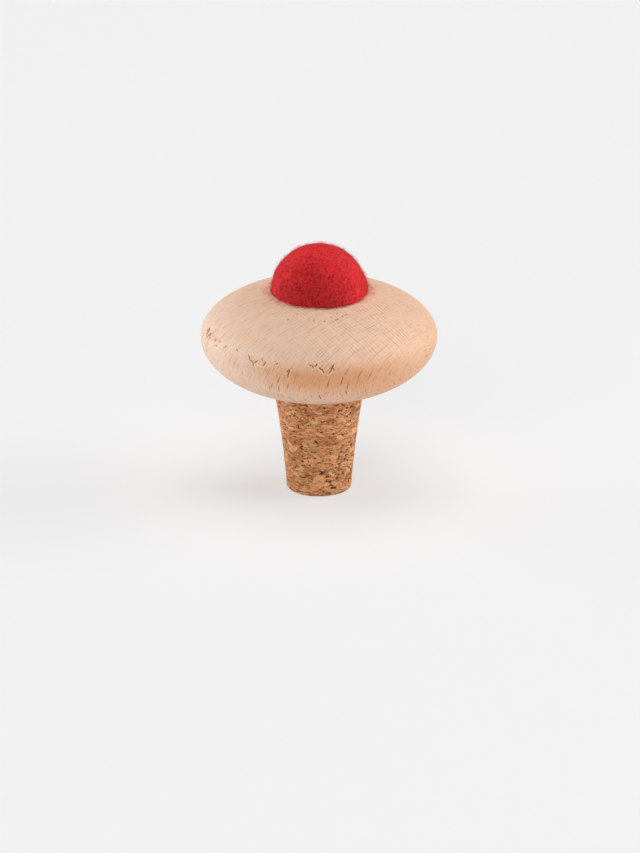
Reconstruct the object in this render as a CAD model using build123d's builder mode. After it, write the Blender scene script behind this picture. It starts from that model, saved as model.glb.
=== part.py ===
"""Wine stopper: a turned beech knob with a felt ball set in its crown, on a tapered cork.

The knob is a thick lens, turned about the Z axis from beech whose grain leans forward as it rises.
The ball is a full ball of wool felt, sunk to about its middle in a ball-nosed hollow.
The cork is a plug of pressed cork granules. Its top is glued to a flat under the knob,
and a fluted dowel pin, glued half in the knob and half in the cork, takes the load
when the knob is rocked to draw the stopper.

Frame: millimetres, +Z up along the axis of the stopper, origin at the centre of the
cork's small end, which is the flat face that the stopper stands on.
"""

import os

from build123d import *

# Knob: a lens made of two half ellipses that meet at its widest circle
knob_diameter = 60.0
crown_height = 13.1  # widest circle up to the top of the crown, as if it had no hollow
belly_depth = 15.2  # widest circle down to the lowest point of the lower ellipse
cork_ledge = 0.6  # width of the flat seat that shows around the top of the cork
turned_edge_radius = 0.3  # sharp edges are broken with abrasive paper on the lathe

# Ball
ball_diameter = 24.0
ball_sink = 13.1  # top of the crown down to the bottom of the ball
ball_glue_gap = 0.1  # glue line around the ball in its hollow

# Cork
cork_top_diameter = 23.3
cork_end_diameter = 16.6
cork_length = 27.3
cork_waist = 0.35  # how far the side dips inside a straight taper, at mid length
cork_end_radius = 0.5

# Dowel pin: the common 8 mm fluted kind
dowel_diameter = 8.0
dowel_in_knob = 10.0
dowel_in_cork = 14.0
dowel_chamfer = 0.8
dowel_glue_gap = 0.05  # around the pin, in both holes
dowel_end_room = 0.5  # left free past each end of the pin, for the glue
flute_count = 16
flute_radius = 0.35

# Heights and radii that follow from the sizes above
knob_radius = knob_diameter / 2
ball_radius = ball_diameter / 2
cork_top_radius = cork_top_diameter / 2
cork_end_half = cork_end_diameter / 2
dowel_radius = dowel_diameter / 2
dowel_hole_radius = dowel_radius + dowel_glue_gap
hollow_radius = ball_radius + ball_glue_gap
seat_radius = cork_top_radius + cork_ledge
seat_drop = belly_depth * (1 - (seat_radius / knob_radius) ** 2) ** 0.5
widest_z = cork_length + seat_drop
crown_z = widest_z + crown_height
ball_z = crown_z - ball_sink + ball_radius

on_seat = Plane.XY.offset(cork_length)
os.makedirs("parts", exist_ok=True)


# Knob: its half section, turned about the axis. The section is the outline of the lens,
# cut flat for the cork, hollowed for the ball and bored for the dowel.
with BuildPart() as wooden_knob:
    with BuildSketch(Plane.XZ) as knob_section:
        with BuildLine():
            crown = EllipticalCenterArc((0, widest_z), knob_radius, crown_height, 0, arc_size=90)
            belly = EllipticalCenterArc((0, widest_z), knob_radius, belly_depth, 0, arc_size=-90)
            Line(crown @ 1, belly @ 1)
        make_face()
        with Locations((0, ball_z)):
            Circle(hollow_radius, mode=Mode.SUBTRACT)
        with Locations((0, cork_length)):
            Rectangle(
                knob_diameter,
                belly_depth,
                align=(Align.CENTER, Align.MAX),
                mode=Mode.SUBTRACT,
            )
            Rectangle(
                2 * dowel_hole_radius,
                dowel_in_knob + dowel_end_room,
                align=(Align.CENTER, Align.MIN),
                mode=Mode.SUBTRACT,
            )
        corners = knob_section.vertices()
        hollow_rim = corners.sort_by(Axis.Y)[-1]
        seat_rim = corners.group_by(Axis.Y)[0].sort_by(Axis.X)[-1]
        fillet([hollow_rim, seat_rim], turned_edge_radius)
    revolve(axis=Axis.Z)
wooden_knob.part.label = "wooden_knob"


# Felt ball: one full ball, the same all through
with BuildPart() as felt_ball:
    with Locations((0, 0, ball_z)):
        Sphere(ball_radius)
felt_ball.part.label = "felt_ball"


# Cork: a slightly waisted taper turned about the axis, drilled from its top for the dowel
with BuildPart() as tapered_cork:
    with BuildSketch(Plane.XZ) as cork_section:
        with BuildLine():
            waist_radius = (cork_top_radius + cork_end_half) / 2 - cork_waist
            side = ThreePointArc(
                (cork_end_half, 0),
                (waist_radius, cork_length / 2),
                (cork_top_radius, cork_length),
            )
            Polyline(side @ 1, (0, cork_length), (0, 0), side @ 0)
        make_face()
        end_rim = cork_section.vertices().group_by(Axis.Y)[0].sort_by(Axis.X)[-1]
        fillet(end_rim, cork_end_radius)
    revolve(axis=Axis.Z)
    with BuildSketch(on_seat):
        Circle(dowel_hole_radius)
    extrude(amount=-(dowel_in_cork + dowel_end_room), mode=Mode.SUBTRACT)
tapered_cork.part.label = "tapered_cork"


# Dowel pin: a round peg with chamfered ends and glue flutes all along it
with BuildPart() as dowel_pin:
    with BuildSketch(on_seat.offset(-dowel_in_cork)):
        Circle(dowel_radius)
    extrude(amount=dowel_in_cork + dowel_in_knob)
    chamfer(dowel_pin.faces().filter_by(Axis.Z).edges(), dowel_chamfer)
    with BuildSketch(on_seat.offset(-dowel_in_cork)):
        with PolarLocations(dowel_radius, flute_count):
            Circle(flute_radius)
    extrude(amount=dowel_in_cork + dowel_in_knob, mode=Mode.SUBTRACT)
dowel_pin.part.label = "dowel_pin"


for piece in (wooden_knob, felt_ball, tapered_cork, dowel_pin):
    export_step(piece.part, f"parts/{piece.part.label}.step")
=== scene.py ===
"""Looks of the wine stopper: a turned beech knob, a felt ball and a cork of pressed granules.

The knob, the cork and the ball are turned by one Geometry Nodes lathe from their half
outlines, then given the relief of their own material. Wool fibres are grown on the ball
by a second tree. Everything is in metres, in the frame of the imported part.
"""

import math
import random

import bpy
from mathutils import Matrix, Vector


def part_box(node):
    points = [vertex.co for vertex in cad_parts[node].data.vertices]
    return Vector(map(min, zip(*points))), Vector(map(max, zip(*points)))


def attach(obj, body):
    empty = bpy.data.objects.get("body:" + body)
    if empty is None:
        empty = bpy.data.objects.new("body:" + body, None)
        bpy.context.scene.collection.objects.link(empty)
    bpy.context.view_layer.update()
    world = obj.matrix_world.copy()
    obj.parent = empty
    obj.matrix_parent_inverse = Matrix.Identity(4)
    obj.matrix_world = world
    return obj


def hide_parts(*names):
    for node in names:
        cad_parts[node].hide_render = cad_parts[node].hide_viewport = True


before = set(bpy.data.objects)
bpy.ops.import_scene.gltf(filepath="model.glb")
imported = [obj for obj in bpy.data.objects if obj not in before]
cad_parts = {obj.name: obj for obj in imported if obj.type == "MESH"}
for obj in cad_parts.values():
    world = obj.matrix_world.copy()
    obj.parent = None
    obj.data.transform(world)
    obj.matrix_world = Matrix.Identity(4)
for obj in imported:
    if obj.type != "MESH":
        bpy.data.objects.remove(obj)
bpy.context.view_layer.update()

MM = 0.001

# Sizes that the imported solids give
_, knob_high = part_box("wooden_knob")
_, cork_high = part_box("tapered_cork")
ball_low, ball_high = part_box("felt_ball")
pin_low, pin_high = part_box("dowel_pin")
KNOB_RADIUS = knob_high.x
BALL_RADIUS = (ball_high.z - ball_low.z) / 2
BALL_Z = (ball_high.z + ball_low.z) / 2
CORK_LENGTH = cork_high.z
CORK_TOP_RADIUS = cork_high.x
PIN_RADIUS = pin_high.x
PIN_TOP = pin_high.z
PIN_FOOT = pin_low.z

# Sizes that the solids were made with, and their boxes don't show
CROWN_HEIGHT = 13.1 * MM
BELLY_DEPTH = 15.2 * MM
CORK_LEDGE = 0.6 * MM
TURNED_EDGE = 0.3 * MM
BALL_GLUE_GAP = 0.1 * MM
CORK_END_RADIUS = 8.3 * MM
CORK_WAIST = 0.35 * MM
CORK_END_EDGE = 0.5 * MM
PIN_GLUE_GAP = 0.05 * MM
PIN_END_ROOM = 0.5 * MM

SEAT_RADIUS = CORK_TOP_RADIUS + CORK_LEDGE
SEAT_ANGLE = math.acos(SEAT_RADIUS / KNOB_RADIUS)
WIDEST_Z = CORK_LENGTH + BELLY_DEPTH * math.sin(SEAT_ANGLE)
HOLLOW_RADIUS = BALL_RADIUS + BALL_GLUE_GAP
BORE_RADIUS = PIN_RADIUS + PIN_GLUE_GAP

# The camera looks along +Y from a little above, through a long lens, so the view is nearly parallel
CAMERA_DISTANCE = 1.137
CAMERA_ELEVATION = math.radians(21.1)
CAMERA_TARGET = Vector((0.00026, 0, 0.0161))
CAMERA_LENS = 187.8


def place_camera():
    data = bpy.data.cameras.new("camera")
    data.lens = CAMERA_LENS
    data.sensor_width = 36
    data.clip_start = 0.05
    data.clip_end = 20
    camera = bpy.data.objects.new("camera", data)
    toward = Vector((0, -math.cos(CAMERA_ELEVATION), math.sin(CAMERA_ELEVATION)))
    camera.location = CAMERA_TARGET + CAMERA_DISTANCE * toward
    camera.rotation_euler = (math.pi / 2 - CAMERA_ELEVATION, 0, 0)
    bpy.context.scene.collection.objects.link(camera)
    bpy.context.scene.camera = camera


place_camera()


# Nodes


def in_use(sockets):
    return [socket for socket in sockets if socket.enabled]


def add(tree, kind, inputs=None, **settings):
    """Adds a node. Settings are its properties. Inputs are keyed by name, or by their order
    among those in use, and hold a value, a socket, or a node that stands for its first output."""
    node = tree.nodes.new(kind)
    for name, value in settings.items():
        setattr(node, name, value)
    for key, value in (inputs or {}).items():
        if isinstance(key, str):
            socket = next(s for s in in_use(node.inputs) if s.name == key)
        else:
            socket = in_use(node.inputs)[key]
        if isinstance(value, bpy.types.Node):
            value = in_use(value.outputs)[0]
        if isinstance(value, bpy.types.NodeSocket):
            tree.links.new(value, socket)
        else:
            socket.default_value = value
    return node


def linear(hex_colour):
    """A colour written as sRGB hex, turned to the linear values that shaders use."""
    channels = [int(hex_colour[i : i + 2], 16) / 255 for i in (1, 3, 5)]
    return tuple(c / 12.92 if c <= 0.04045 else ((c + 0.055) / 1.055) ** 2.4 for c in channels) + (1,)


NOISE_MEAN = (0.5, 0.5, 0.5)
TUFTS = {"Scale": 1.1, "Detail": 4.0, "Roughness": 0.65}  # of the felt, just under 1 mm across
FELT_CLEARANCE = 0.01 * MM  # between the spread felt and the wood
SEAM = 0.002 * MM  # points nearer than this are one point of a turned surface


def cleared_tree(owner):
    """The node tree of a material or a world, emptied."""
    owner.use_nodes = True
    owner.node_tree.nodes.clear()
    return owner.node_tree


def finish_surface(tree, colour, bump, **numbers):
    """Ends a material in one Principled surface, whose plain numbers are set on its own sockets."""
    shader = add(tree, "ShaderNodeBsdfPrincipled", {"Base Color": colour, "Normal": bump, **numbers})
    add(tree, "ShaderNodeOutputMaterial", {"Surface": shader})


def stray(tree, place, noise, reach):
    """A place that strays from where it is, as a slow noise takes it, by up to half the reach."""
    shift = add(tree, "ShaderNodeTexNoise", {"Vector": place, **noise}).outputs["Color"]
    shift = add(tree, "ShaderNodeVectorMath", {0: shift, 1: NOISE_MEAN}, operation="SUBTRACT")
    shift = add(tree, "ShaderNodeVectorMath", {0: shift, 1: reach}, operation="MULTIPLY")
    return add(tree, "ShaderNodeVectorMath", {0: place, 1: shift}, operation="ADD")


# Beech. The knob was cut with its grain leaning forward, and the pith lay off to the back right.
# A place in the wood is given in millimetres: round the pith, out from it, and along the grain.

FIBRE = Vector((0.040, -0.504, 0.8625)).normalized()
PITH = (55.1 * MM, 38.8 * MM, WIDEST_Z)
PITH_DISTANCE_MM = 67.4
RAY_FACE = FIBRE.cross(Vector((PITH[0], PITH[1], 0))).normalized()  # square to the sheets of the rays
# The turn that stands the grain upright
GRAIN_TURN = (math.atan2(FIBRE.y, FIBRE.z), -math.asin(FIBRE.x), 0)


def grain_axes(tree, position):
    toward = add(tree, "ShaderNodeVectorMath", {0: PITH, 1: position}, operation="SUBTRACT")
    mm = add(tree, "ShaderNodeVectorMath", {0: toward, "Scale": 1 / MM}, operation="SCALE")
    upright = add(
        tree, "ShaderNodeVectorRotate", {"Vector": mm, "Rotation": GRAIN_TURN}, rotation_type="EULER_XYZ"
    )
    parts = add(tree, "ShaderNodeSeparateXYZ", {0: upright})
    angle = add(tree, "ShaderNodeMath", {0: parts.outputs[1], 1: parts.outputs[0]}, operation="ARCTAN2")
    around = add(tree, "ShaderNodeMath", {0: angle, 1: PITH_DISTANCE_MM}, operation="MULTIPLY")
    flat = add(tree, "ShaderNodeVectorMath", {0: upright, 1: (1, 1, 0)}, operation="MULTIPLY")
    out = add(tree, "ShaderNodeVectorMath", {0: flat}, operation="LENGTH")
    return add(tree, "ShaderNodeCombineXYZ", {0: around, 1: out, 2: parts.outputs[2]})


def ray_sheets(tree, axes, cell, half_size, start, pale, dark):
    """Wood rays: thin lens-shaped sheets that run out from the pith, one to a cell.
    Gives how deep a point is in one, from 0 at its face to 1, times the sheet's own shade:
    its random number, from nothing at pale to all of it at dark."""
    shifted = add(tree, "ShaderNodeVectorMath", {0: axes, 1: start}, operation="ADD")
    scaled = add(tree, "ShaderNodeVectorMath", {0: shifted, 1: cell}, operation="DIVIDE")
    cells = add(tree, "ShaderNodeTexVoronoi", {"Vector": scaled, "Scale": 1.0, "Randomness": 1.0})
    apart = add(tree, "ShaderNodeVectorMath", {0: scaled, 1: cells.outputs["Position"]}, operation="SUBTRACT")
    shape = tuple(c / h for c, h in zip(cell, half_size))
    sized = add(tree, "ShaderNodeVectorMath", {0: apart, 1: shape}, operation="MULTIPLY")
    reach = add(tree, "ShaderNodeVectorMath", {0: sized}, operation="LENGTH")
    inside = add(tree, "ShaderNodeMapRange", {"Value": reach, "From Min": 1.0, "From Max": 0.4})
    number = add(tree, "ShaderNodeSeparateXYZ", {0: cells.outputs["Color"]})
    shade = add(tree, "ShaderNodeMapRange", {"Value": number, "From Min": pale, "From Max": dark})
    return add(tree, "ShaderNodeMath", {0: inside, 1: shade}, operation="MULTIPLY")


def year_rings(tree, axes):
    """Where the dark late wood lies. The rings are 1.1 mm apart near the pith and 0.7 mm far from it.
    Each ring comes and goes along its length."""
    parts = add(tree, "ShaderNodeSeparateXYZ", {0: axes})
    out = parts.outputs[1]
    gap = add(tree, "ShaderNodeMath", {0: out, 1: -0.01, 2: 1.52}, operation="MULTIPLY_ADD")
    count = add(tree, "ShaderNodeMath", {0: gap, 1: math.e}, operation="LOGARITHM")
    years = add(tree, "ShaderNodeMath", {0: count, 1: -100.0}, operation="MULTIPLY")
    phase = add(tree, "ShaderNodeMath", {0: years}, operation="FRACT")
    late = add(tree, "ShaderNodeMath", {0: phase, 1: 0.5}, operation="SUBTRACT")
    late = add(tree, "ShaderNodeMath", {0: late}, operation="ABSOLUTE")
    late = add(tree, "ShaderNodeMapRange", {"Value": late, "From Min": 0.26, "From Max": 0.5})
    around = add(tree, "ShaderNodeMath", {0: parts.outputs[0], 1: 0.22}, operation="MULTIPLY")
    along = add(tree, "ShaderNodeMath", {0: parts.outputs[2], 1: 0.1}, operation="MULTIPLY")
    spot = add(tree, "ShaderNodeCombineXYZ", {0: around, 1: years, 2: along})
    worn = add(tree, "ShaderNodeTexNoise", {"Vector": spot, "Scale": 0.8, "Detail": 3.0})
    worn = add(tree, "ShaderNodeMapRange", {"Value": worn, "From Min": 0.36, "From Max": 0.62, "To Min": 0.1})
    return add(tree, "ShaderNodeMath", {0: late, 1: worn}, operation="MULTIPLY")


def beech_material():
    """Beech, turned and sanded, left bare: matt, pale pinkish tan, flecked by its rays.
    The rays are fine dark lines on the crown, which is end grain, and short dashes on the edge."""
    material = bpy.data.materials.new("beech_turned_and_sanded")
    tree = cleared_tree(material)
    place = add(tree, "ShaderNodeTexCoord").outputs["Object"]
    normal = add(tree, "ShaderNodeTexCoord").outputs["Normal"]
    height = add(tree, "ShaderNodeSeparateXYZ", {0: place}).outputs[2]

    # The grain wanders a little, so no ray or ring is quite straight
    axes = stray(tree, grain_axes(tree, place), {"Scale": 0.12, "Detail": 2.0}, (0.7, 1.2, 0))
    out = add(tree, "ShaderNodeSeparateXYZ", {0: axes}).outputs[1]

    # Streaks of colour, a few millimetres wide and far longer up the grain
    stretched = add(tree, "ShaderNodeVectorMath", {0: axes, 1: (0.3, 0.2, 0.04)}, operation="MULTIPLY")
    patches = add(tree, "ShaderNodeTexNoise", {"Vector": stretched, "Scale": 1.0, "Detail": 4.0})

    # Vessels: too fine to see one by one, they leave a soft mottle 0.2 to 0.3 mm across
    pores = add(tree, "ShaderNodeVectorMath", {0: axes, 1: (4.0, 4.0, 0.8)}, operation="MULTIPLY")
    mottle = add(tree, "ShaderNodeTexNoise", {"Vector": pores, "Scale": 1.0, "Detail": 2.0})

    # How far the surface is from standing upright, as it does at the widest part
    slope = add(tree, "ShaderNodeSeparateXYZ", {0: normal}).outputs[2]
    slope = add(tree, "ShaderNodeMath", {0: slope, 1: 0.14}, operation="ADD")
    slope = add(tree, "ShaderNodeMath", {0: slope}, operation="ABSOLUTE")

    # How far it faces along the grain, squared, and how flat the sheets of the rays lie in it
    facing = add(tree, "ShaderNodeVectorMath", {0: normal, 1: tuple(FIBRE)}, operation="DOT_PRODUCT")
    end_grain = add(tree, "ShaderNodeMath", {0: facing, 1: facing}, operation="MULTIPLY")
    flat_on = add(tree, "ShaderNodeVectorMath", {0: normal, 1: tuple(RAY_FACE)}, operation="DOT_PRODUCT")
    flat_on = add(tree, "ShaderNodeMath", {0: flat_on}, operation="ABSOLUTE")

    # Torn grain: the lathe stored how far each place is from the nearest tear, in millimetres
    tear_gap = add(tree, "ShaderNodeAttribute", attribute_name="tear_gap").outputs["Fac"]
    ragged = add(tree, "ShaderNodeMath", {0: mottle, 1: 0.5}, operation="SUBTRACT")
    ragged = add(tree, "ShaderNodeMath", {0: ragged, 1: 0.3, 2: tear_gap}, operation="MULTIPLY_ADD")

    # How much of each thing shows: what it follows, where it is least and where it is most, and
    # its least and its most. Along "out", the places are in millimetres from the pith.
    shows = {}
    for name, follows, least_at, most_at, least, most in (
        ("outer wood", out, 68.0, 92.0, 0.0, 1.0),
        ("pink", patches, 0.42, 0.28, 0.0, 0.8),
        ("yellow", patches, 0.56, 0.72, 0.0, 0.8),
        ("end grain and painted reflection", end_grain, 0.0, 1.0, 0.0, 0.8),
        ("widest part", slope, 0.68, 0.18, 0.0, 1.0),
        ("inner years shaded", out, 58.0, 74.0, 0.0, 1.0),
        ("outer years shaded", out, 95.0, 86.0, 0.0, 1.0),
        ("mottle", mottle, 0.3, 0.7, 0.94, 1.06),
        ("rings near the pith", out, 86.0, 68.0, 0.25, 1.0),
        ("rings in patches", patches, 0.38, 0.58, 0.2, 1.0),
        ("rings cut across", end_grain, 0.0, 0.8, 0.2, 1.0),
        ("side grain", end_grain, 0.62, 0.25, 0.15, 1.0),
        ("sheets on edge", flat_on, 0.99, 0.93, 0.2, 1.0),
        ("dashes in inner years", out, 65.0, 75.0, 0.15, 1.0),
        ("dashes in outer years", out, 93.0, 85.0, 0.4, 1.0),
        ("long lines in outer years", out, 84.0, 75.0, 0.2, 1.0),
        ("painted highlight round tears", ragged, 0.42, 0.22, 0.0, 0.45),
        ("below the crown", height, WIDEST_Z + 7 * MM, WIDEST_Z + 5 * MM, 0.0, 1.0),
        ("torn", ragged, 0.16, 0.02, 0.0, 1.0),
    ):
        ends = {"From Min": least_at, "From Max": most_at, "To Min": least, "To Max": most}
        shows[name] = add(tree, "ShaderNodeMapRange", {"Value": follows, **ends})

    # Broad rays, up to 3.6 mm tall, are dark dashes where they come out through side grain. Cut
    # across on the crown they are thin lines up to 10 mm long. Fine rays are half a millimetre apart.
    broad = ray_sheets(tree, axes, (1.3, 5.0, 3.6), (0.12, 3.4, 1.8), (0, 0, 0), 0.1, 0.5)
    long_cut = ray_sheets(tree, axes, (1.1, 8.0, 6.0), (0.08, 5.0, 3.4), (4.1, 2.3, 9.7), 0.35, 0.9)
    fine = ray_sheets(tree, axes, (0.55, 3.5, 1.4), (0.09, 2.6, 0.7), (7.3, 3.1, 5.7), 0.0, 1.0)

    # Wood that grew further from the pith is paler and greyer. End grain is paler too: partly its own colour,
    # and partly a painted reflection of the bright surroundings on the crown.
    outer = shows["outer wood"]
    colour, end_grain_colour_with_painted_reflection = (
        add(tree, "ShaderNodeMix", {0: outer, 1: linear(near), 2: linear(far)}, data_type="RGBA")
        for near, far in (("#e2b18e", "#e5cbb7"), ("#e1c0a9", "#e0bba2"))
    )

    # What is laid over that, in order: what its strength is the product of, and its colour.
    # The deeper, more saturated colour at the widest part is painted shade. The pale colour round the tears
    # is a painted highlight, where lifted fibres catch the light.
    covers = {}
    for name, strengths, tint in (
        ("pinkish streaks", ["pink"], linear("#dda68a")),
        ("yellowish streaks", ["yellow"], linear("#eabe97")),
        ("end grain and painted reflection", ["end grain and painted reflection"], end_grain_colour_with_painted_reflection),
        ("painted shade on the widest part", ["widest part", "inner years shaded", "outer years shaded"], linear("#db9e73")),
        ("mottle", [1.0], shows["mottle"]),
        (
            "year rings",
            [year_rings(tree, axes), "rings near the pith", "rings in patches", "rings cut across"],
            linear("#bd9270"),
        ),
        (
            "broad rays",
            [broad, "side grain", "sheets on edge", "dashes in inner years", "dashes in outer years"],
            linear("#8f5229"),
        ),
        ("long rays", [long_cut, end_grain, "long lines in outer years"], linear("#a2714d")),
        ("fine rays", [fine, 0.8], linear("#a8754e")),
        # Painted highlight: a pale colour round the tears on the shoulder
        ("painted highlight round tears", ["painted highlight round tears", "below the crown"], linear("#f9d6b6")),
        # Torn grain: the torn fibres' own darker colour, with painted shade in the tear's hollow
        ("torn grain and painted shade", ["torn"], linear("#8a4a22")),
    ):
        strengths = [shows[s] if isinstance(s, str) else s for s in strengths]
        cover = strengths[0]
        for strength in strengths[1:]:
            cover = add(tree, "ShaderNodeMath", {0: cover, 1: strength}, operation="MULTIPLY")
        blend = "MULTIPLY" if name == "mottle" else "MIX"
        laid = {0: cover, 1: colour, 2: tint}
        colour = add(tree, "ShaderNodeMix", laid, data_type="RGBA", blend_type=blend)
        covers[name] = cover

    sunk = add(tree, "ShaderNodeMath", {0: covers["broad rays"], 1: covers["fine rays"]}, operation="ADD")
    relief = add(tree, "ShaderNodeMath", {0: mottle, 1: 0.5}, operation="MULTIPLY")
    relief = add(tree, "ShaderNodeMath", {0: relief, 1: sunk}, operation="SUBTRACT")
    bump = add(tree, "ShaderNodeBump", {"Strength": 0.5, "Distance": 0.06 * MM, "Height": relief})
    finish_surface(tree, colour, bump, **{"Roughness": 0.65, "IOR": 1.5, "Specular IOR Level": 0.4})
    return material


def cork_granules(tree, position):
    """Pressed cork: ground granules, squeezed to lenses 1 to 3 mm wide and half as tall.
    Gives the granule's random colour, the distance to its edge, its streaks and its pits."""
    mm = add(tree, "ShaderNodeVectorMath", {0: position, "Scale": 1 / MM}, operation="SCALE")
    warped = stray(tree, mm, {"Scale": 0.45, "Detail": 3.0}, (3.0, 3.0, 2.4))
    flattened = add(tree, "ShaderNodeVectorMath", {0: warped, 1: (0.33, 0.33, 0.75)}, operation="MULTIPLY")
    cells = add(tree, "ShaderNodeTexVoronoi", {"Vector": flattened, "Scale": 1.0})
    edges = add(tree, "ShaderNodeTexVoronoi", {"Vector": flattened, "Scale": 1.0}, feature="DISTANCE_TO_EDGE")
    number = cells.outputs["Color"]

    # Each granule's own growth layers, lying nearly flat and tilted by its random number
    lean = add(tree, "ShaderNodeVectorMath", {0: number, 1: (0.5, 0.5, -1.4)}, operation="SUBTRACT")
    layer = add(tree, "ShaderNodeVectorMath", {0: warped, 1: lean}, operation="DOT_PRODUCT")
    layer = add(tree, "ShaderNodeMath", {0: layer, 1: 1.3}, operation="MULTIPLY")
    along = add(tree, "ShaderNodeVectorMath", {0: mm, "Scale": 0.32}, operation="SCALE")
    x, y, _ = add(tree, "ShaderNodeSeparateXYZ", {0: along}).outputs
    layers = {"Vector": add(tree, "ShaderNodeCombineXYZ", {0: x, 1: y, 2: layer}), "Scale": 1.0}
    streaks = add(tree, "ShaderNodeTexNoise", {**layers, "Detail": 3.0, "Roughness": 0.6})

    # Pits where a bit of a granule dropped out, mostly along the edges
    pit_place = add(tree, "ShaderNodeVectorMath", {0: mm, 1: (0.9, 0.9, 1.6)}, operation="MULTIPLY")
    pit_noise = add(tree, "ShaderNodeTexNoise", {"Vector": pit_place, "Scale": 1.0, "Detail": 2.0})
    ends = {"From Min": 0.0, "From Max": 0.3, "To Min": 0.05, "To Max": -0.01}
    near_edge = add(tree, "ShaderNodeMapRange", {"Value": edges, **ends})
    pit_level = add(tree, "ShaderNodeMath", {0: pit_noise, 1: near_edge}, operation="ADD")
    pits = add(tree, "ShaderNodeMapRange", {"Value": pit_level, "From Min": 0.61, "From Max": 0.66})
    return number, edges, streaks, pits


def cork_material():
    """Agglomerated cork, moulded and sanded: matt, each granule its own tan, streaked and pitted."""
    material = bpy.data.materials.new("cork_pressed_granules")
    tree = cleared_tree(material)
    place = add(tree, "ShaderNodeTexCoord").outputs["Object"]
    number, edges, streaks, pits = cork_granules(tree, place)
    first, second, third = add(tree, "ShaderNodeSeparateXYZ", {0: number}).outputs
    tans = {0: first, 1: linear("#ba7644"), 2: linear("#e4a670")}
    colour = add(tree, "ShaderNodeMix", tans, data_type="RGBA")

    # Laid over that: what each follows, where it starts and where it is full, its strength, its colour
    for follows, start, full, strength, tint in (
        (second, 0.9, 0.93, 0.6, "#b49460"),  # olive granules
        (third, 0.9, 0.94, 0.55, "#96562f"),  # bits of bark
        (streaks, 0.48, 0.34, 0.85, "#753a19"),  # dark growth layers
        (streaks, 0.55, 0.68, 0.75, "#f0b782"),  # pale growth layers
        (edges, 0.05, 0.0, 0.55, "#7c4828"),  # glue between granules
        # Painted shade: the pits are coloured near black, for the shade in their hollows
        (pits, 0.0, 1.0, 1.0, "#522811"),
    ):
        ends = {"From Min": start, "From Max": full, "To Max": strength}
        cover = add(tree, "ShaderNodeMapRange", {"Value": follows, **ends})
        colour = add(tree, "ShaderNodeMix", {0: cover, 1: colour, 2: linear(tint)}, data_type="RGBA")

    mm = add(tree, "ShaderNodeVectorMath", {0: place, "Scale": 1 / MM}, operation="SCALE")
    cell_walls = add(tree, "ShaderNodeTexNoise", {"Vector": mm, "Scale": 5.0, "Detail": 3.0})
    relief = add(tree, "ShaderNodeMath", {0: streaks, 1: cell_walls}, operation="ADD")
    bump = add(tree, "ShaderNodeBump", {"Strength": 0.7, "Distance": 0.1 * MM, "Height": relief})
    finish_surface(tree, colour, bump, **{"Roughness": 0.65, "IOR": 1.45, "Specular IOR Level": 0.4})
    return material


# The side of the ball where the felt's colour is darkened as painted shade
PAINTED_SHADE_SIDE = (-0.24, -0.97, 0.05)  # which way from the middle of the ball


def felt_material(name, pale, deep):
    """Wool felt, wet felted and dyed: no gloss, a soft sheen at its edges, mottled by its matted fibres, with
    painted shade low on the front.
    """
    material = bpy.data.materials.new(name)
    tree = cleared_tree(material)
    place = add(tree, "ShaderNodeTexCoord").outputs["Object"]
    mm = add(tree, "ShaderNodeVectorMath", {0: place, "Scale": 1 / MM}, operation="SCALE")
    tufts = add(tree, "ShaderNodeTexNoise", {"Vector": mm, **TUFTS})
    fibre_number = add(tree, "ShaderNodeAttribute", attribute_name="fibre_number").outputs["Fac"]
    level = add(tree, "ShaderNodeMath", {0: fibre_number, 1: 0.5}, operation="SUBTRACT")
    level = add(tree, "ShaderNodeMath", {0: level, 1: 0.5, 2: tufts}, operation="MULTIPLY_ADD")
    # Curled strands felted into the surface, about 1 mm apart
    strands = add(tree, "ShaderNodeTexNoise", {"Vector": mm, "Scale": 1.0, "Detail": 2.0, "Distortion": 2.6})
    strands = add(tree, "ShaderNodeMath", {0: strands, 1: 0.5}, operation="SUBTRACT")
    level = add(tree, "ShaderNodeMath", {0: strands, 1: 2.0, 2: level}, operation="MULTIPLY_ADD")
    tone = add(tree, "ShaderNodeMapRange", {"Value": level, "From Min": 0.05, "From Max": 0.37})
    colour = add(tree, "ShaderNodeMix", {0: tone, 1: linear(deep), 2: linear(pale)}, data_type="RGBA")
    # Painted shade: low on the front of the ball, a little to the left, the colour is darkened to about two
    # thirds. Elsewhere it keeps its full colour.
    away = add(tree, "ShaderNodeVectorMath", {0: place, 1: (0, 0, BALL_Z)}, operation="SUBTRACT")
    away = add(tree, "ShaderNodeVectorMath", {0: away}, operation="NORMALIZE")
    toward_shade_side = add(tree, "ShaderNodeVectorMath", {0: away, 1: PAINTED_SHADE_SIDE}, operation="DOT_PRODUCT")
    ends = {"From Min": 0.45, "From Max": 0.97, "To Min": 1.0, "To Max": 0.64}
    painted_front_shade = add(tree, "ShaderNodeMapRange", {"Value": toward_shade_side, **ends})
    colour = add(tree, "ShaderNodeVectorMath", {0: colour, "Scale": painted_front_shade}, operation="SCALE")
    # Light that goes through and between the fibres evens out their shading, as if most of each
    # fibre faced straight out from the ball
    away = add(tree, "ShaderNodeVectorMath", {0: away, "Scale": 2.0}, operation="SCALE")
    own = add(tree, "ShaderNodeTexCoord").outputs["Normal"]
    facing = add(tree, "ShaderNodeVectorMath", {0: away, 1: own}, operation="ADD")
    facing = add(tree, "ShaderNodeVectorMath", {0: facing}, operation="NORMALIZE")
    fuzz = add(tree, "ShaderNodeTexNoise", {"Vector": mm, "Scale": 6.0, "Detail": 3.0})
    napped = {"Height": fuzz, "Normal": facing}
    bump = add(tree, "ShaderNodeBump", {"Strength": 0.3, "Distance": 0.03 * MM, **napped})
    surface = {
        "Roughness": 0.9,
        "IOR": 1.5,
        "Specular IOR Level": 0.2,
        "Sheen Weight": 1.0,
        "Sheen Roughness": 0.5,
        "Sheen Tint": linear("#ff393d"),
        "Subsurface Weight": 0.7,
        "Subsurface Scale": 0.06 * MM,
        "Subsurface Radius": (1.0, 0.3, 0.3),
    }
    finish_surface(tree, colour, bump, **surface)
    return material


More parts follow.
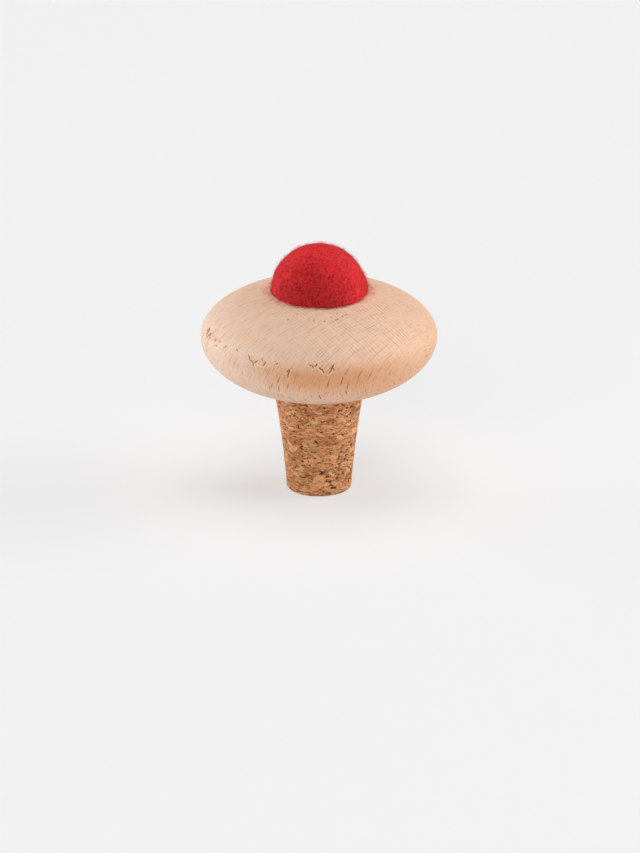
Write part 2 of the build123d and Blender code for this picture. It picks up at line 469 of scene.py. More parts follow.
def dowel_material():
    """Beech dowel, pressed through a die: straight grain and a slight burnish on its ribs."""
    material = bpy.data.materials.new("beech_ribbed_dowel")
    tree = cleared_tree(material)
    place = add(tree, "ShaderNodeTexCoord").outputs["Object"]
    along = add(tree, "ShaderNodeVectorMath", {0: place, 1: (2500, 2500, 150)}, operation="MULTIPLY")
    fibres = add(tree, "ShaderNodeTexNoise", {"Vector": along, "Scale": 1.0, "Detail": 3.0})
    tans = {0: fibres, 1: linear("#c99a6d"), 2: linear("#e8c49c")}
    colour = add(tree, "ShaderNodeMix", tans, data_type="RGBA")
    bump = add(tree, "ShaderNodeBump", {"Strength": 0.4, "Distance": 0.05 * MM, "Height": fibres})
    finish_surface(tree, colour, bump, **{"Roughness": 0.45, "IOR": 1.5})
    return material


beech = beech_material()
cork = cork_material()
# The fuzz has a paler copy of the felt's colour, which is painted rim light, since loose fuzz shows most
# round the ball's edges
felt = felt_material("wool_felt_red", "#ff3238", "#ac0e16")
felt_fibres = felt_material("wool_fibres_red", "#ff3e43", "#c2151e")
felt_fuzz = felt_material("wool_fuzz_red", "#ff4b50", "#ff3c42")
dowel_beech = dowel_material()


# Half outlines: (distance from the axis, height), from the foot of each piece to its top


def arc(radius, height, centre_z, start, end, step):
    """Points along part of an ellipse about the axis. The angles are in degrees."""
    count = max(2, round(abs(end - start) / step))
    angles = [math.radians(start + (end - start) * i / count) for i in range(count + 1)]
    return [(radius * math.cos(a), centre_z + height * math.sin(a)) for a in angles]


def run(start, end, count):
    """Evenly spaced points along a straight stretch."""
    return [
        (start[0] + (end[0] - start[0]) * i / count, start[1] + (end[1] - start[1]) * i / count)
        for i in range(count + 1)
    ]


def join_rounded(before, after, reach, count=4):
    """Joins two runs that meet at a corner, and rounds it off over the given reach."""
    corner = Vector(after[0])
    before = [p for p in before if (Vector(p) - corner).length > reach]
    after = [p for p in after if (Vector(p) - corner).length > reach]
    start = corner + (Vector(before[-1]) - corner).normalized() * reach
    end = corner + (Vector(after[0]) - corner).normalized() * reach
    curve = []
    for i in range(count + 1):
        t = i / count
        curve.append(tuple(start * (1 - t) ** 2 + corner * 2 * t * (1 - t) + end * t**2))
    return before + curve + after


def knob_outline():
    bore_top = PIN_TOP + PIN_END_ROOM
    bore = run((0, bore_top), (BORE_RADIUS, bore_top), 3)
    bore += run((BORE_RADIUS, bore_top), (BORE_RADIUS, CORK_LENGTH), 4)[1:]
    seat = run((BORE_RADIUS, CORK_LENGTH), (SEAT_RADIUS, CORK_LENGTH), 8)[1:]
    # The rim is where the crown's ellipse meets the round hollow
    rim_radius = HOLLOW_RADIUS
    for _ in range(20):
        rim_z = WIDEST_Z + CROWN_HEIGHT * math.sqrt(1 - (rim_radius / KNOB_RADIUS) ** 2)
        rim_radius = math.sqrt(HOLLOW_RADIUS**2 - (rim_z - BALL_Z) ** 2)
    rim_angle = math.degrees(math.acos(rim_radius / KNOB_RADIUS))
    # Rows lie closer together over the shoulder and by the hollow, where the wood is torn and pitted
    lens = arc(KNOB_RADIUS, BELLY_DEPTH, WIDEST_Z, -math.degrees(SEAT_ANGLE), -12, 1.5)
    lens += arc(KNOB_RADIUS, BELLY_DEPTH, WIDEST_Z, -12, 0, 0.6)[1:]
    for start, end, step in ((0, 20, 0.5), (20, 49, 1.3), (49, 59, 0.5), (59, rim_angle, 1.3)):
        lens += arc(KNOB_RADIUS, CROWN_HEIGHT, WIDEST_Z, start, end, step)[1:]
    hollow_start = math.degrees(math.asin((rim_z - BALL_Z) / HOLLOW_RADIUS))
    hollow = arc(HOLLOW_RADIUS, HOLLOW_RADIUS, BALL_Z, hollow_start, -90, 10.0)
    outline = join_rounded(bore + seat, lens, TURNED_EDGE)
    return join_rounded(outline, hollow, TURNED_EDGE)


def cork_outline():
    bore_foot = PIN_FOOT - PIN_END_ROOM
    end = run((0, 0), (CORK_END_RADIUS, 0), 30)
    side = []
    for i in range(201):
        t = i / 200
        dip = 4 * CORK_WAIST * t * (1 - t)
        side.append((CORK_END_RADIUS + (CORK_TOP_RADIUS - CORK_END_RADIUS) * t - dip, CORK_LENGTH * t))
    top = run((CORK_TOP_RADIUS, CORK_LENGTH), (BORE_RADIUS, CORK_LENGTH), 6)[1:]
    bore = run((BORE_RADIUS, CORK_LENGTH), (BORE_RADIUS, bore_foot), 4)[1:] + [(0, bore_foot)]
    return join_rounded(end, side, CORK_END_EDGE) + top + bore


def ball_outline():
    lower = arc(BALL_RADIUS, BALL_RADIUS, BALL_Z, -90, -12, 6.0)
    return lower + arc(BALL_RADIUS, BALL_RADIUS, BALL_Z, -12, 90, 1.0)[1:]


# Geometry Nodes


def new_tree(name, inputs, sizes=()):
    """A geometry tree with one geometry in, one out, and after it the named inputs and sizes."""
    tree = bpy.data.node_groups.new(name, "GeometryNodeTree")
    tree.interface.new_socket("Geometry", in_out="OUTPUT", socket_type="NodeSocketGeometry")
    tree.interface.new_socket("Geometry", in_out="INPUT", socket_type="NodeSocketGeometry")
    for label, kind in inputs + [(size, "Float") for size in sizes]:
        tree.interface.new_socket(label, in_out="INPUT", socket_type="NodeSocket" + kind)
    return tree, add(tree, "NodeGroupInput").outputs


LATHE_INPUTS = [("Steps Around", "Int"), ("Front Crowding", "Float"), ("Material", "Material")]


def turn_on_lathe(tree, given):
    """Turns the half outline that comes in about the Z axis, with more steps at the front (-Y).
    The grid has a row for each point of the outline, and a column for each step around."""
    steps = given["Steps Around"]
    rows = add(tree, "GeometryNodeAttributeDomainSize", {0: given["Geometry"]}).outputs["Point Count"]
    columns = add(tree, "ShaderNodeMath", {0: steps, 1: 1.0}, operation="ADD")
    grid = add(tree, "GeometryNodeMeshGrid", {"Vertices X": rows, "Vertices Y": columns})
    index = add(tree, "GeometryNodeInputIndex")
    row = add(tree, "ShaderNodeMath", {0: index, 1: columns}, operation="DIVIDE")
    row = add(tree, "ShaderNodeMath", {0: row}, operation="FLOOR")
    column = add(tree, "ShaderNodeMath", {0: index, 1: columns}, operation="MODULO")
    own = {"Geometry": given["Geometry"], "Value": add(tree, "GeometryNodeInputPosition"), "Index": row}
    outline = add(tree, "GeometryNodeSampleIndex", own, data_type="FLOAT_VECTOR")
    radius, _, height = add(tree, "ShaderNodeSeparateXYZ", {0: outline}).outputs
    share = add(tree, "ShaderNodeMath", {0: column, 1: steps}, operation="DIVIDE")
    even = add(tree, "ShaderNodeMath", {0: share, 1: 2 * math.pi}, operation="MULTIPLY")
    wave = add(tree, "ShaderNodeMath", {0: even}, operation="SINE")
    crowd = add(tree, "ShaderNodeMath", {0: wave, 1: given["Front Crowding"]}, operation="MULTIPLY")
    angle = add(tree, "ShaderNodeMath", {0: even, 1: crowd}, operation="SUBTRACT")
    reach = []
    for turn in ("SINE", "COSINE"):
        share = add(tree, "ShaderNodeMath", {0: angle}, operation=turn)
        reach.append(add(tree, "ShaderNodeMath", {0: radius, 1: share}, operation="MULTIPLY"))
    back = add(tree, "ShaderNodeMath", {0: reach[1], 1: -1.0}, operation="MULTIPLY")
    turned = add(tree, "ShaderNodeCombineXYZ", {0: reach[0], 1: back, 2: height})
    shaped = add(tree, "GeometryNodeSetPosition", {"Geometry": grid, "Position": turned})
    closed = add(tree, "GeometryNodeMergeByDistance", {"Geometry": shaped, "Distance": SEAM})
    return add(tree, "GeometryNodeFlipFaces", {"Mesh": closed})


def raise_surface(tree, geometry, height):
    """Moves the surface out along its normal by a height in metres."""
    normal = add(tree, "GeometryNodeInputNormal")
    offset = add(tree, "ShaderNodeVectorMath", {0: normal, "Scale": height}, operation="SCALE")
    return add(tree, "GeometryNodeSetPosition", {"Geometry": geometry, "Offset": offset})


def number_points(tree, geometry, name, value):
    """Stores a number with each point, under a name that materials can read."""
    named = {"Geometry": geometry, "Name": name, "Value": value}
    return add(tree, "GeometryNodeStoreNamedAttribute", named, data_type="FLOAT", domain="POINT")


def close_tree(tree, geometry, material):
    """Ends a tree: smooth faces, real geometry in place of instances, and the material."""
    smooth = add(tree, "GeometryNodeSetShadeSmooth", {"Geometry": geometry})
    real = add(tree, "GeometryNodeRealizeInstances", {"Geometry": smooth})
    finished = add(tree, "GeometryNodeSetMaterial", {"Geometry": real, "Material": material})
    add(tree, "NodeGroupOutput", {0: finished})
    return tree


def knob_tree():
    tree, given = new_tree("turned_knob", LATHE_INPUTS + [("Tears", "Object")], ("Tear Depth", "Tear Edge"))
    turned = turn_on_lathe(tree, given)
    tears = add(tree, "GeometryNodeObjectInfo", {"Object": given["Tears"]}).outputs["Geometry"]
    gap = add(tree, "GeometryNodeProximity", {"Geometry": tears}, target_element="FACES").outputs["Distance"]
    gap_mm = add(tree, "ShaderNodeMath", {0: gap, 1: 1 / MM}, operation="MULTIPLY")
    kept = number_points(tree, turned, "tear_gap", gap_mm)
    ends = {"From Min": given["Tear Edge"], "From Max": 0.0}
    deep = add(tree, "ShaderNodeMapRange", {"Value": gap, **ends}, interpolation_type="SMOOTHSTEP")
    height = add(tree, "ShaderNodeMath", {0: deep, 1: given["Tear Depth"]}, operation="MULTIPLY")
    height = add(tree, "ShaderNodeMath", {0: height, 1: -1.0}, operation="MULTIPLY")
    return close_tree(tree, raise_surface(tree, kept, height), given["Material"])


def cork_tree():
    tree, given = new_tree("pressed_cork", LATHE_INPUTS, ("Pit Depth", "Granule Relief", "Edge Groove"))
    turned = turn_on_lathe(tree, given)
    place = add(tree, "GeometryNodeInputPosition")
    _, edges, streaks, pits = cork_granules(tree, place)
    groove = add(tree, "ShaderNodeMapRange", {"Value": edges, "From Min": 0.12, "From Max": 0.0})
    layers = add(tree, "ShaderNodeMath", {0: 0.7, 1: streaks}, operation="SUBTRACT")
    drop = 0.0
    for dip, depth in ((pits, "Pit Depth"), (groove, "Edge Groove"), (layers, "Granule Relief")):
        dip = add(tree, "ShaderNodeMath", {0: dip, 1: given[depth]}, operation="MULTIPLY")
        drop = add(tree, "ShaderNodeMath", {0: drop, 1: dip}, operation="ADD")
    # Only the skin is rough: the glued top and the bore stay as cut
    height = add(tree, "ShaderNodeSeparateXYZ", {0: place}).outputs["Z"]
    ends = {"From Min": CORK_LENGTH, "From Max": CORK_LENGTH - 0.2 * MM}
    below_top = add(tree, "ShaderNodeMapRange", {"Value": height, **ends})
    for share in (below_top, -1.0):
        drop = add(tree, "ShaderNodeMath", {0: drop, 1: share}, operation="MULTIPLY")
    return close_tree(tree, raise_surface(tree, turned, drop), given["Material"])


def lift_off_crown(tree, geometry, lift):
    """Raises whatever lies over the knob's crown until it clears the wood by the given lift."""
    place = add(tree, "GeometryNodeInputPosition")
    x, y, z = add(tree, "ShaderNodeSeparateXYZ", {0: place}).outputs
    level = add(tree, "ShaderNodeVectorMath", {0: place, 1: (1, 1, 0)}, operation="MULTIPLY")
    radius = add(tree, "ShaderNodeVectorMath", {0: level}, operation="LENGTH")
    share = add(tree, "ShaderNodeMath", {0: radius, 1: KNOB_RADIUS}, operation="DIVIDE")
    square = add(tree, "ShaderNodeMath", {0: share, 1: share}, operation="MULTIPLY")
    rest = add(tree, "ShaderNodeMath", {0: 1.0, 1: square}, operation="SUBTRACT")
    root = add(tree, "ShaderNodeMath", {0: rest}, operation="SQRT")
    crown = add(tree, "ShaderNodeMath", {0: root, 1: CROWN_HEIGHT, 2: WIDEST_Z}, operation="MULTIPLY_ADD")
    clear = add(tree, "ShaderNodeMath", {0: crown, 1: lift}, operation="ADD")
    height = add(tree, "ShaderNodeMath", {0: z, 1: clear}, operation="MAXIMUM")
    raised = add(tree, "ShaderNodeCombineXYZ", {0: x, 1: y, 2: height})
    over_wood = add(tree, "ShaderNodeMath", {0: radius, 1: BALL_RADIUS - 0.1 * MM}, operation="GREATER_THAN")
    moved = {"Geometry": geometry, "Selection": over_wood, "Position": raised}
    return add(tree, "GeometryNodeSetPosition", moved)


def ball_tree():
    """The felt spreads over the wood round its foot, most of it to the front."""
    sizes = ("Lump Height", "Tuft Height", "Mat Room", "Spread", "Front Spread", "Right Spread")
    tree, given = new_tree("felted_ball", LATHE_INPUTS, sizes)
    turned = turn_on_lathe(tree, given)
    place = add(tree, "GeometryNodeInputPosition")
    centred = add(tree, "ShaderNodeVectorMath", {0: place, 1: (0, 0, BALL_Z)}, operation="SUBTRACT")
    level = add(tree, "ShaderNodeVectorMath", {0: centred, 1: (1, 1, 0)}, operation="MULTIPLY")
    radius = add(tree, "ShaderNodeVectorMath", {0: level}, operation="LENGTH")
    outward = add(tree, "ShaderNodeVectorMath", {0: level}, operation="NORMALIZE")
    up = add(tree, "ShaderNodeSeparateXYZ", {0: centred}).outputs["Z"]
    up = add(tree, "ShaderNodeMath", {0: up, 1: radius}, operation="ARCTAN2")

    # How far it spreads each way, before its height is taken into account
    toward_front = Vector((math.sin(math.radians(6)), -math.cos(math.radians(6)), 0))
    front = add(tree, "ShaderNodeVectorMath", {0: outward, 1: toward_front}, operation="DOT_PRODUCT")
    right = add(tree, "ShaderNodeSeparateXYZ", {0: outward}).outputs[0]
    spread = given["Spread"]
    for way, sharpness, size in ((front, 1.3, "Front Spread"), (right, 1.0, "Right Spread")):
        way = add(tree, "ShaderNodeMath", {0: way, 1: 0.0}, operation="MAXIMUM")
        way = add(tree, "ShaderNodeMath", {0: way, 1: sharpness}, operation="POWER")
        spread = add(tree, "ShaderNodeMath", {0: way, 1: given[size], 2: spread}, operation="MULTIPLY_ADD")

    # It comes in again below, to fit the hollow, and above, in degrees up from the ball's middle
    mm = add(tree, "ShaderNodeVectorMath", {0: place, "Scale": 1 / MM}, operation="SCALE")
    lumps = add(tree, "ShaderNodeTexNoise", {"Vector": mm, "Scale": 0.16, "Detail": 1.0})
    tufts = add(tree, "ShaderNodeTexNoise", {"Vector": mm, **TUFTS})
    belt = 1.0
    for start, full in ((-7, 2), (75, 0)):
        ends = {"From Min": math.radians(start), "From Max": math.radians(full)}
        side = add(tree, "ShaderNodeMapRange", {"Value": up, **ends}, interpolation_type="SMOOTHSTEP")
        belt = add(tree, "ShaderNodeMath", {0: belt, 1: side}, operation="MULTIPLY")
    ends = {"From Min": 0.3, "From Max": 0.7, "To Min": 0.9, "To Max": 1.15}
    uneven = add(tree, "ShaderNodeMapRange", {"Value": lumps, **ends})
    for share in (uneven, belt):
        spread = add(tree, "ShaderNodeMath", {0: spread, 1: share}, operation="MULTIPLY")
    shift = add(tree, "ShaderNodeVectorMath", {0: outward, "Scale": spread}, operation="SCALE")
    skirted = add(tree, "GeometryNodeSetPosition", {"Geometry": turned, "Offset": shift})

    height = 0.0
    for noise, size in ((lumps, "Lump Height"), (tufts, "Tuft Height")):
        swing = add(tree, "ShaderNodeMath", {0: noise, 1: 0.5}, operation="SUBTRACT")
        swing = add(tree, "ShaderNodeMath", {0: swing, 1: given[size]}, operation="MULTIPLY")
        height = add(tree, "ShaderNodeMath", {0: height, 1: swing}, operation="ADD")
    height = add(tree, "ShaderNodeMath", {0: height, 1: given["Mat Room"]}, operation="SUBTRACT")
    # What sits in the hollow stays round
    above = add(tree, "ShaderNodeMapRange", {"Value": up, "From Min": math.radians(-6), "From Max": 0.0})
    height = add(tree, "ShaderNodeMath", {0: height, 1: above}, operation="MULTIPLY")
    shaped = raise_surface(tree, skirted, height)
    return close_tree(tree, lift_off_crown(tree, shaped, FELT_CLEARANCE), given["Material"])


def fibre_tree():
    """Wool fibres lying on a surface: short curved strands, matted over and under each other,
    whose tips may rise. They grow where the surface is above a given height."""
    inputs = [("Base", "Object"), ("Seed", "Int"), ("Bends", "Int"), ("Material", "Material")]
    sizes = ("Density", "Lowest Root", "Length", "Thickness", "Curl", "Matting", "Tip Rise")
    tree, given = new_tree("wool_fibres", inputs, sizes)
    base = add(tree, "GeometryNodeObjectInfo", {"Object": given["Base"]}).outputs["Geometry"]
    height = add(tree, "ShaderNodeSeparateXYZ", {0: add(tree, "GeometryNodeInputPosition")}).outputs["Z"]
    high = add(tree, "ShaderNodeMath", {0: height, 1: given["Lowest Root"]}, operation="GREATER_THAN")
    sown = {"Mesh": base, "Selection": high, "Density": given["Density"], "Seed": given["Seed"]}
    roots = add(tree, "GeometryNodeDistributePointsOnFaces", sown).outputs
    drawn = []
    for least, most, step in ((0.0, 1.0, 100.0), (0.0, 2 * math.pi, 200.0), (0.5, 1.5, 300.0)):
        seed = add(tree, "ShaderNodeMath", {0: given["Seed"], 1: step}, operation="ADD")
        ends = {"Min": least, "Max": most, "Seed": seed}
        drawn.append(add(tree, "FunctionNodeRandomValue", ends, data_type="FLOAT"))
    number, heading, length = drawn
    numbered = number_points(tree, roots["Points"], "fibre_number", number)
    turn = add(tree, "FunctionNodeAxisAngleToRotation", {"Axis": (0, 0, 1), "Angle": heading})
    aimed = add(tree, "FunctionNodeRotateRotation", {0: roots["Rotation"], 1: turn}, rotation_space="LOCAL")
    tip = add(tree, "ShaderNodeCombineXYZ", {0: given["Length"]})
    strand = add(tree, "GeometryNodeCurvePrimitiveLine", {"End": tip})
    strand = add(tree, "GeometryNodeResampleCurve", {"Curve": strand, "Count": given["Bends"]})
    planting = {"Points": numbered, "Instance": strand, "Rotation": aimed, "Scale": length}
    planted = add(tree, "GeometryNodeInstanceOnPoints", planting)
    loose = add(tree, "GeometryNodeRealizeInstances", {"Geometry": planted})

    # Each strand has its own curl: the noise is read at a place far away that its number picks
    place = add(tree, "GeometryNodeInputPosition")
    own = add(tree, "GeometryNodeInputNamedAttribute", {"Name": "fibre_number"}, data_type="FLOAT")
    picked = add(tree, "ShaderNodeMath", {0: own, 1: 900.0}, operation="MULTIPLY")
    mm = add(tree, "ShaderNodeVectorMath", {0: place, "Scale": 0.45 / MM}, operation="SCALE")
    field = add(tree, "ShaderNodeTexNoise", {"Vector": mm, "W": picked, "Detail": 1.0}, noise_dimensions="4D")
    curl = add(tree, "ShaderNodeVectorMath", {0: field.outputs["Color"], 1: NOISE_MEAN}, operation="SUBTRACT")
    curl = add(tree, "ShaderNodeVectorMath", {0: curl, "Scale": given["Curl"]}, operation="SCALE")
    curled = add(tree, "GeometryNodeSetPosition", {"Geometry": loose, "Offset": curl})

    # Laid on the surface, at a height that changes along it, then the tip rises
    near = add(tree, "GeometryNodeProximity", {"Geometry": base}, target_element="FACES")
    read = {"Mesh": base, "Value": add(tree, "GeometryNodeInputNormal")}
    facing = add(tree, "GeometryNodeSampleNearestSurface", read, data_type="FLOAT_VECTOR")
    weave = add(tree, "ShaderNodeTexNoise", {"Vector": mm, "W": picked, "Scale": 1.4}, noise_dimensions="4D")
    ends = {"From Min": 0.35, "From Max": 0.65, "To Min": -0.35}
    over = add(tree, "ShaderNodeMapRange", {"Value": weave, **ends})
    lift = add(tree, "ShaderNodeMath", {0: over, 1: given["Matting"]}, operation="MULTIPLY")
    along = add(tree, "GeometryNodeSplineParameter").outputs["Factor"]
    rise = add(tree, "ShaderNodeMath", {0: along, 1: own}, operation="MULTIPLY")
    lift = add(tree, "ShaderNodeMath", {0: rise, 1: given["Tip Rise"], 2: lift}, operation="MULTIPLY_ADD")
    stand = add(tree, "ShaderNodeVectorMath", {0: facing, "Scale": lift}, operation="SCALE")
    laid = add(tree, "ShaderNodeVectorMath", {0: near.outputs["Position"], 1: stand}, operation="ADD")
    laid = add(tree, "GeometryNodeSetPosition", {"Geometry": curled, "Position": laid})
    clear = lift_off_crown(tree, laid, given["Thickness"])

    radius = add(tree, "ShaderNodeMath", {0: given["Thickness"], 1: 0.5}, operation="MULTIPLY")
    section = add(tree, "GeometryNodeCurvePrimitiveCircle", {"Resolution": 3, "Radius": radius})
    thickened = {"Curve": clear, "Profile Curve": section, "Fill Caps": True}
    return close_tree(tree, add(tree, "GeometryNodeCurveToMesh", thickened), given["Material"])


def mesh_object(name, vertices, edges=(), faces=()):
    mesh = bpy.data.meshes.new(name)
    mesh.from_pydata(vertices, edges, faces)
    piece = bpy.data.objects.new(name, mesh)
    bpy.context.scene.collection.objects.link(piece)
    return piece


def outline_object(name, outline):
    points = [(radius, 0, z) for radius, z in outline]
    return mesh_object(name, points, edges=[(i, i + 1) for i in range(len(points) - 1)])


def run_tree(piece, tree, values):
    """Runs a tree on a piece and keeps the result as its plain mesh."""
    modifier = piece.modifiers.new(tree.name, "NODES")
    modifier.node_group = tree
    for item in tree.interface.items_tree:
        if item.in_out == "INPUT" and item.name in values:
            modifier[item.identifier] = values[item.name]
    bpy.context.view_layer.update()
    evaluated = piece.evaluated_get(bpy.context.evaluated_depsgraph_get())
    mesh = bpy.data.meshes.new_from_object(evaluated)
    piece.modifiers.clear()
    piece.data = mesh
    mesh.name = piece.name
    if mesh.materials[0] is None:
        mesh.materials.pop(index=0)
    return piece


# Torn grain along the shoulder, where the tool met the grain: (degrees round from the front,
# degrees up the crown, length, width, lean) with sizes in millimetres. A positive lean takes
# the lower end to the right. The short ones high on the crown are single pits by the ball.
TEARS = [
    (-76.6, 17.0, 1.9, 0.80, -50),
    (-75.4, 13.8, 2.2, 0.95, -22),
    (-73.6, 10.4, 1.6, 0.70, -40),
    (-71.4, 14.8, 1.9, 0.80, -46),
    (-70.0, 11.6, 1.3, 0.55, -20),
    (-67.0, 15.2, 0.9, 0.40, 20),
    (-63.4, 14.4, 1.5, 0.60, 48),
    (-59.5, 15.6, 1.0, 0.10, 58),
    (-60.9, 9.6, 0.6, 0.16, -40),
    (-53.4, 13.0, 1.0, 0.14, -48),
    (-44.9, 14.6, 0.8, 0.10, 58),
    (-36.2, 10.8, 1.4, 0.20, 30),
    (-34.4, 7.6, 1.0, 0.18, 48),
    (-31.9, 7.9, 1.3, 0.14, -46),
    (-33.4, 4.2, 0.8, 0.14, 12),
    (-28.7, 10.6, 0.8, 0.14, 8),
    (-27.2, 7.4, 1.3, 0.20, -34),
    (-20.6, 9.8, 0.6, 0.10, -44),
    (-15.0, 3.4, 1.5, 0.14, -46),
    (-14.6, 0.4, 1.5, 0.22, -24),
    (-14.9, -3.4, 0.7, 0.14, -12),
    (-4.3, 10.7, 0.6, 0.14, 40),
    (-3.0, 9.6, 1.1, 0.20, 16),
    (-1.4, 10.8, 0.9, 0.16, -40),
    (0.5, 7.4, 0.8, 0.12, 34),
    (1.9, 4.9, 1.2, 0.26, 26),
    (6.6, 9.0, 1.3, 0.22, -28),
    (6.0, 6.2, 1.3, 0.26, -14),
    (5.0, 2.9, 1.0, 0.16, -40),
    (7.0, 6.6, 1.0, 0.14, 24),
    (-24.1, 51.1, 0.34, 0.26, 0),
    (-8.1, 53.0, 0.30, 0.24, 0),
    (4.0, 51.6, 0.36, 0.28, 0),
    (10.4, 55.1, 0.30, 0.22, 0),
    (13.1, 52.6, 0.34, 0.26, 0),
    (14.4, 52.4, 0.30, 0.24, 0),
    (16.6, 57.8, 0.30, 0.22, 0),
    (19.8, 55.1, 0.34, 0.26, 0),
    (23.5, 55.9, 0.28, 0.22, 0),
    (-19.4, 56.8, 0.30, 0.22, 0),
    (-66.9, 55.0, 0.34, 0.26, 0),
    (-4.2, 52.8, 0.28, 0.20, 0),
]

TEAR_SLIMNESS = 0.85  # share of its listed width that a tear is given
TEAR_LEAF = ((-0.5, 0), (-0.15, 0.5), (0.2, 0.4), (0.5, 0), (0.1, -0.5), (-0.2, -0.4))  # along, across

# Tears that the back may have: the same measures as above, each drawn between two ends
HIDDEN_TEARS = ((110, 262), (4, 14), (0.7, 1.6), (0.2, 0.5), (-25, 25))
HIDDEN_TEAR_COUNT = 16


def shoulder_place(around, up):
    """A point on the lens, given in degrees round from the front and up from the widest circle."""
    around = math.radians(around)
    up = math.radians(up)
    height = CROWN_HEIGHT if up > 0 else BELLY_DEPTH
    radius = KNOB_RADIUS * math.cos(up)
    return Vector((radius * math.sin(around), -radius * math.cos(around), WIDEST_Z + height * math.sin(up)))


def tear_shapes():
    """Each tear as a thin pointed leaf lying on the surface."""
    draw = random.Random(11)
    hidden = [[draw.uniform(*ends) for ends in HIDDEN_TEARS] for _ in range(HIDDEN_TEAR_COUNT)]
    vertices = []
    faces = []
    for around, up, length, width, lean in TEARS + hidden:
        middle = shoulder_place(around, up)
        aside = (shoulder_place(around + 0.5, up) - shoulder_place(around - 0.5, up)).normalized()
        rise = (shoulder_place(around, up + 0.5) - shoulder_place(around, up - 0.5)).normalized()
        slant = math.radians(lean)
        down = aside * math.sin(slant) - rise * math.cos(slant)
        side = aside * math.cos(slant) + rise * math.sin(slant)
        faces.append(range(len(vertices), len(vertices) + len(TEAR_LEAF)))
        for along, across in TEAR_LEAF:
            vertices.append(middle + (down * along * length + side * across * width * TEAR_SLIMNESS) * MM)
    return mesh_object("tear_shapes", vertices, faces=faces)


def make_knob():
    knob = outline_object("knob", knob_outline())
    tears = tear_shapes()
    sizes = {"Tears": tears, "Tear Depth": 0.4 * MM, "Tear Edge": 0.22 * MM}
    run_tree(knob, knob_tree(), {"Steps Around": 520, "Front Crowding": 0.5, "Material": beech, **sizes})
    bpy.data.objects.remove(tears)
    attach(knob, "root")
    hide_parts("wooden_knob")
    return knob


def make_cork():
    plug = outline_object("cork_plug", cork_outline())
    sizes = {"Pit Depth": 0.32 * MM, "Granule Relief": 0.18 * MM, "Edge Groove": 0.1 * MM}
    run_tree(plug, cork_tree(), {"Steps Around": 380, "Front Crowding": 0.3, "Material": cork, **sizes})
    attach(plug, "root")
    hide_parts("tapered_cork")


def make_ball():
    ball = outline_object("ball", ball_outline())
    sizes = {
        "Lump Height": 0.8 * MM,
        "Tuft Height": 0.45 * MM,
        "Mat Room": 0.3 * MM,
        "Spread": 0.2 * MM,
        "Front Spread": 1.9 * MM,
        "Right Spread": 0.25 * MM,
    }
    run_tree(ball, ball_tree(), {"Steps Around": 260, "Front Crowding": 0.2, "Material": felt, **sizes})
    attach(ball, "root")
    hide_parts("felt_ball")
    return ball


# Wool is 0.02 to 0.03 mm thick, too fine to show, so each fibre here stands for two or three


def grow_fibres(name, base, seed, bends, material, **sizes):
    """Fibres on a base, as a piece of their own. Density is per square millimetre, the rest is in mm."""
    values = {key.replace("_", " "): value * MM for key, value in sizes.items()}
    values["Density"] = sizes["Density"] / MM**2
    fibres = mesh_object(name, [(0, 0, 0)])
    run_tree(fibres, wool_tree, {**values, "Base": base, "Seed": seed, "Bends": bends, "Material": material})
    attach(fibres, "root")


knob_piece = make_knob()
make_cork()
ball_piece = make_ball()
wool_tree = fibre_tree()
foot_mm = BALL_Z / MM - 0.5  # just below the middle of the ball, where it meets the wood
grow_fibres(
    "felt_mat_low", ball_piece, 3, 7, felt_fibres,
    Density=1.1, Lowest_Root=foot_mm, Length=2.2, Thickness=0.055, Curl=2.4, Matting=0.02, Tip_Rise=0.0,
)
grow_fibres(
    "felt_mat_high", ball_piece, 8, 7, felt_fibres,
    Density=0.6, Lowest_Root=foot_mm, Length=2.2, Thickness=0.07, Curl=2.6, Matting=0.04, Tip_Rise=0.08,
)
grow_fibres(
    "felt_fuzz", ball_piece, 15, 5, felt_fuzz,
    Density=3.0, Lowest_Root=foot_mm, Length=1.3, Thickness=0.03, Curl=2.0, Matting=0.08, Tip_Rise=0.8,
)
grow_fibres(
    "stray_fibres", knob_piece, 21, 6, felt_fuzz,
    Density=3.8, Lowest_Root=foot_mm + 0.1, Length=0.9, Thickness=0.03, Curl=1.4, Matting=0.05, Tip_Rise=0.2,
)

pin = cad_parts["dowel_pin"]
pin.data.materials.clear()
pin.data.materials.append(dowel_beech)


# Stage: a pale sweep, and soft boxes to the right, to the left, overhead and in front


BACKGROUND = linear("#f3f3f3")
LAMP_DISTANCE = 3.0
AMBIENT = 0.08


def seen_directly(tree):
    """1 for rays that show the surroundings as such: from the camera, or off gloss, or through glass."""
    path = add(tree, "ShaderNodeLightPath").outputs
    direct = path["Is Camera Ray"]
    for other in ("Is Glossy Ray", "Is Transmission Ray"):
        direct = add(tree, "ShaderNodeMath", {0: direct, 1: path[other]}, operation="MAXIMUM")
    return direct


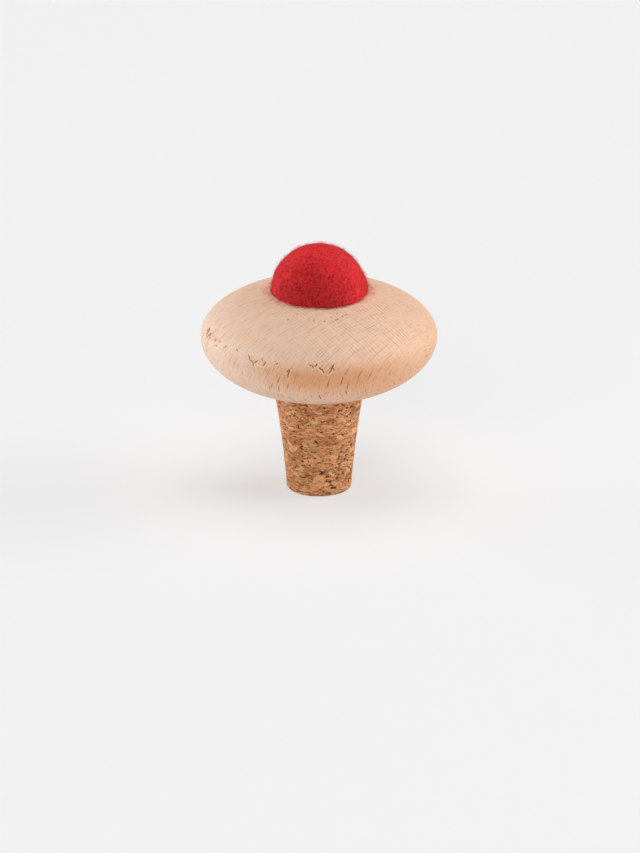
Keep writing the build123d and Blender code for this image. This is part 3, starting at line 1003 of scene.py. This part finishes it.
def sweep_material():
    """Matt white paper. Seen directly it is evened out to a flat pale grey that keeps part of
    the shadow. The light that it throws back on the object is that of plain white paper."""
    material = bpy.data.materials.new("paper_sweep")
    tree = cleared_tree(material)
    paper = add(tree, "ShaderNodeBsdfDiffuse", {"Color": linear("#f2f2f2")})
    shaded = add(tree, "ShaderNodeBsdfDiffuse", {"Color": BACKGROUND})
    flat = add(tree, "ShaderNodeEmission", {"Color": BACKGROUND})
    evened = add(tree, "ShaderNodeMixShader", {0: 0.6, 1: shaded, 2: flat})
    surface = add(tree, "ShaderNodeMixShader", {0: seen_directly(tree), 1: paper, 2: evened})
    add(tree, "ShaderNodeOutputMaterial", {"Surface": surface})
    return material


def make_sweep():
    """A floor that curves up into a backdrop far behind."""
    points = []
    for x in (-5, 5):
        points += [(x, -5, 0), (x, 3, 0)]
        for i in range(1, 13):
            a = math.pi / 2 * i / 12
            points.append((x, 3 + 1.5 * math.sin(a), 1.5 - 1.5 * math.cos(a)))
        points.append((x, 4.5, 5))
    half = len(points) // 2
    faces = [(half + i, half + i + 1, i + 1, i) for i in range(half - 1)]
    sweep = mesh_object("sweep", points, faces=faces)
    for face in sweep.data.polygons:
        face.use_smooth = True
    sweep.data.materials.append(sweep_material())


def soft_box(name, around, up, width, height, power):
    """A flat lamp aimed at the knob, placed in degrees round from the front and up from level."""
    around = math.radians(around)
    up = math.radians(up)
    data = bpy.data.lights.new(name, "AREA")
    data.shape = "RECTANGLE"
    data.size = width
    data.size_y = height
    data.energy = power
    lamp = bpy.data.objects.new(name, data)
    away = Vector((math.sin(around) * math.cos(up), -math.cos(around) * math.cos(up), math.sin(up)))
    lamp.location = Vector((0, 0, WIDEST_Z)) + away * LAMP_DISTANCE
    lamp.rotation_euler = away.to_track_quat("Z", "Y").to_euler()
    bpy.context.scene.collection.objects.link(lamp)


def light_world():
    """The studio's own dim light, and the same grey as the sweep where it is seen directly."""
    world = bpy.data.worlds.new("studio")
    bpy.context.scene.world = world
    tree = cleared_tree(world)
    room = add(tree, "ShaderNodeBackground", {"Color": linear("#ffffff"), "Strength": AMBIENT})
    seen = add(tree, "ShaderNodeBackground", {"Color": BACKGROUND, "Strength": 1.0})
    both = add(tree, "ShaderNodeMixShader", {0: seen_directly(tree), 1: room, 2: seen})
    add(tree, "ShaderNodeOutputWorld", {"Surface": both})


make_sweep()
light_world()
soft_box("soft_box_right", 97, 20, 2.2, 2.2, 71)
soft_box("soft_box_left", -112, 9, 2.4, 1.0, 56.5)
soft_box("soft_box_top", 0, 88, 2.0, 2.0, 42)
soft_box("soft_box_front", -14, 22, 2.0, 2.0, 36)

bpy.context.scene.view_settings.view_transform = "Standard"
